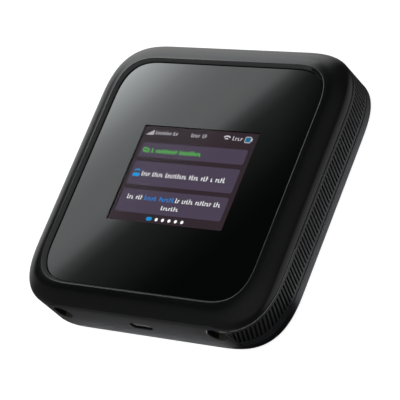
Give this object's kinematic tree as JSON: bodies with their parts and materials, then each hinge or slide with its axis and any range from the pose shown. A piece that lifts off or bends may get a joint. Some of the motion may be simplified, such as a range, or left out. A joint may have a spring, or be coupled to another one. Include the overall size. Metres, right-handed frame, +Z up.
{
  "type": "mobile hotspot",
  "caption": "Rounded square pocket router with a crowned black rim, a dark glass face with a small colour screen, slant-ribbed sides and ports on one edge.",
  "frame": {"origin": "centre of the footprint, on the surface that the rubber feet rest on", "axes": "+Z up out of the screen, -Y out of the ports' face, +X to the right when reading the screen"},
  "size_m": [0.105, 0.105, 0.0208],
  "materials": {
    "bezel_plastic": "satin, soft-touch",
    "frame_plastic": "fine matt",
    "cover_plastic": "fine matt",
    "lens_glass": "polished, dark",
    "black_ink": "printed, gloss",
    "adhesive": "foam tape",
    "display": "lit picture",
    "backlight": "white moulding",
    "steel": "stamped",
    "shield_tin": "drawn tinplate",
    "flex_film": "polyimide film",
    "black_plastic": "moulded",
    "rubber": "matt",
    "battery_skin": "wrapped cell can",
    "paper": "blank label",
    "gold": "gold plated",
    "board": "solder mask",
    "chip": "moulded package",
    "thermal_pad": "soft pad",
    "graphite": "graphite sheet",
    "antenna_film": "copper film",
    "insulator": "fluoropolymer",
    "white_plastic": "moulded"
  },
  "bodies": {
    "chassis": {"top_bezel": "bezel_plastic", "front_lens": "lens_glass", "lens_mask": "black_ink", "lens_adhesive": "adhesive", "lcd_panel": "display", "lcd_backlight": "backlight", "lcd_frame": "steel", "lcd_frame_screws": "steel", "lcd_flex": "flex_film", "lcd_connector": "black_plastic", "mid_frame": "frame_plastic", "battery_tray": "black_plastic", "tray_screws": "steel", "contact_block": "black_plastic", "contact_pins": "gold", "main_pcb": "board", "modem_shield": "shield_tin", "wifi_shield": "shield_tin", "modem_chip": "chip", "wifi_chip": "chip", "thermal_pads": "thermal_pad", "heat_spreader": "graphite", "cellular_antennas": "antenna_film", "wifi_antennas": "antenna_film", "usb_c_shell": "steel", "usb_c_tongue": "black_plastic", "usb_c_contacts": "gold", "left_jack": "gold", "right_jack": "gold", "jack_insulators": "insulator", "jack_pins": "gold", "power_switch": "shield_tin", "reset_switch": "shield_tin", "sim_holder": "shield_tin", "rating_label": "paper"},
    "cover": {"battery_cover": "cover_plastic", "rubber_feet": "rubber"},
    "battery": {"battery_pack": "battery_skin", "battery_label": "paper", "battery_pads": "gold"},
    "power_key": {"power_button": "bezel_plastic", "power_plunger": "white_plastic"},
    "reset_key": {"reset_button": "white_plastic"},
    "sim": {"sim_card": "white_plastic"}
  },
  "joints": [
    {"name": "cover_lift", "type": "slide", "parent": "chassis", "child": "cover", "axis": [0, 0, -1], "range_m": [0, 0.024]},
    {"name": "battery_lift", "type": "slide", "parent": "chassis", "child": "battery", "axis": [0, 0, -1], "range_m": [0, 0.012]},
    {"name": "power_press", "type": "slide", "parent": "chassis", "child": "power_key", "axis": [0, -1, 0], "range_m": [0, 0.00035], "stiffness_N_per_m": 3000},
    {"name": "reset_press", "type": "slide", "parent": "chassis", "child": "reset_key", "axis": [0, 0, 1], "range_m": [0, 0.00025], "stiffness_N_per_m": 2000},
    {"name": "sim_slide", "type": "slide", "parent": "chassis", "child": "sim", "axis": [0, -1, 0], "range_m": [0, 0.012]}
  ],
  "couplings": [
    {"joint": "battery_lift", "follows": "cover_lift", "ratio": 0.5}
  ]
}
